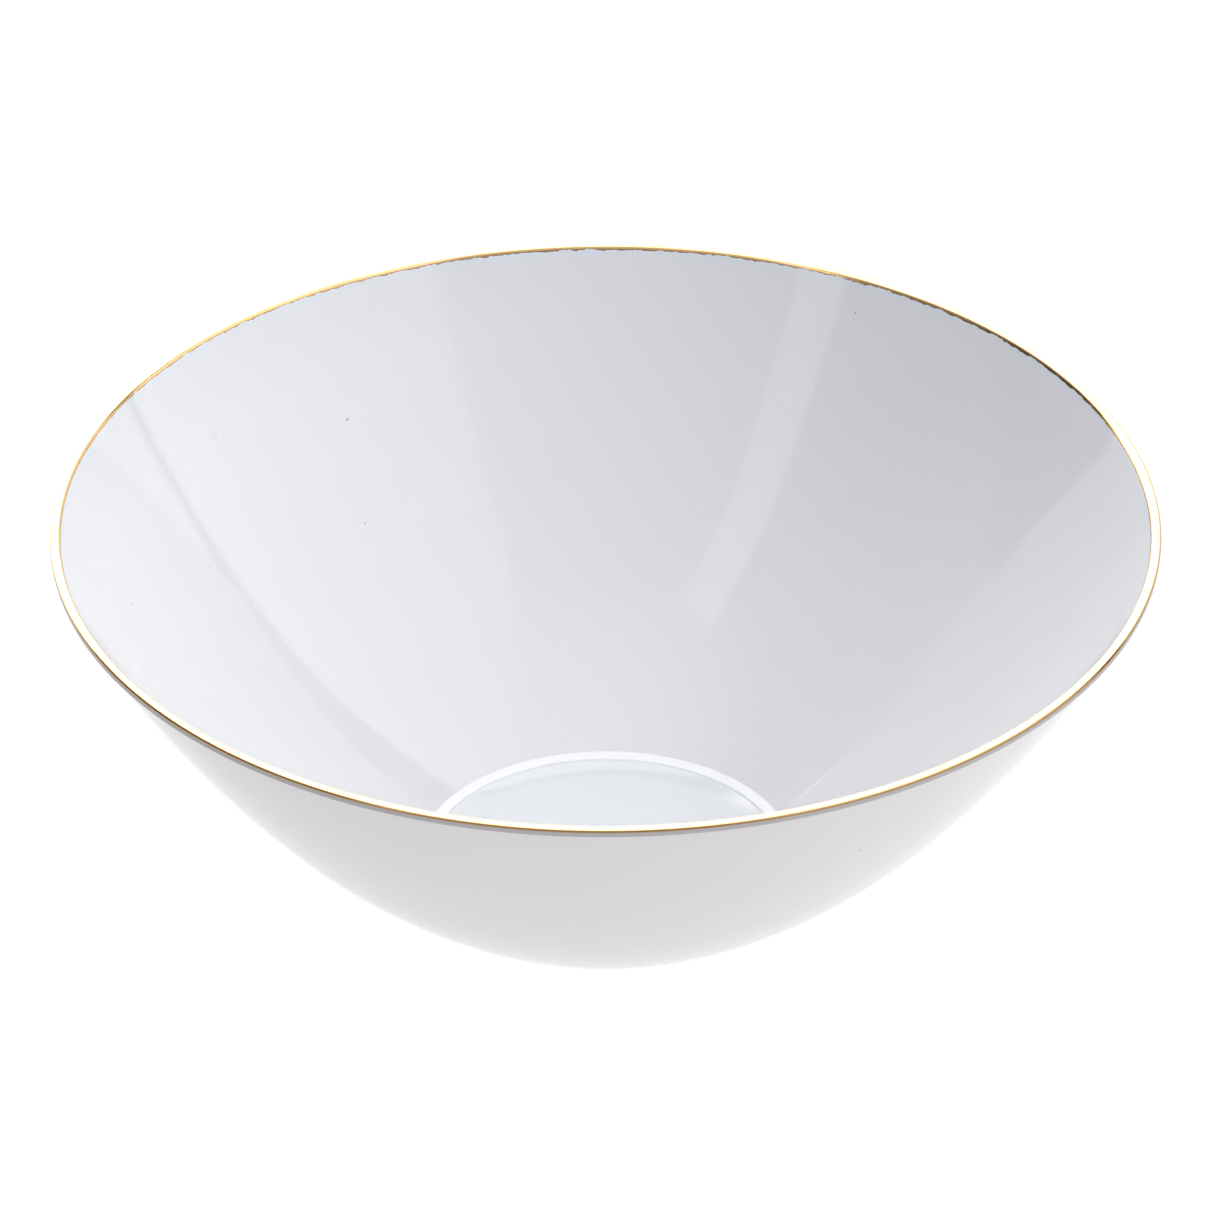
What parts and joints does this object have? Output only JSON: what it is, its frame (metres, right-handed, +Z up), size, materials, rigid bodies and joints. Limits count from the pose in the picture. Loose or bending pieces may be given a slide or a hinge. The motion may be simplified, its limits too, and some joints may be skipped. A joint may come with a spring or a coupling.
{
  "type": "serving bowl",
  "caption": "Round porcelain serving bowl with flared curved walls, a gilded lip over a thin upright band, a ringed shallow well and a low foot ring",
  "frame": {"origin": "middle of the standing face of the foot, at the bottom of the bowl", "axes": "+Z up along the axis the bowl is turned about; X and Y lie level and are interchangeable"},
  "size_m": [0.25, 0.25, 0.095],
  "materials": {
    "porcelain": "fired white porcelain, under the glaze",
    "biscuit": "unglazed fired porcelain, fine matt",
    "inner_glaze": "clear gloss glaze over cool white porcelain",
    "outer_glaze": "clear gloss glaze over white porcelain",
    "base_glaze": "clear gloss glaze over white porcelain",
    "gilding": "bright liquid gold, fired on and lightly worn"
  },
  "bodies": {
    "root": {"porcelain_body": "porcelain", "foot_ring": "biscuit", "inner_glaze": "inner_glaze", "outer_glaze": "outer_glaze", "base_glaze": "base_glaze", "gold_rim": "gilding"}
  },
  "joints": []
}
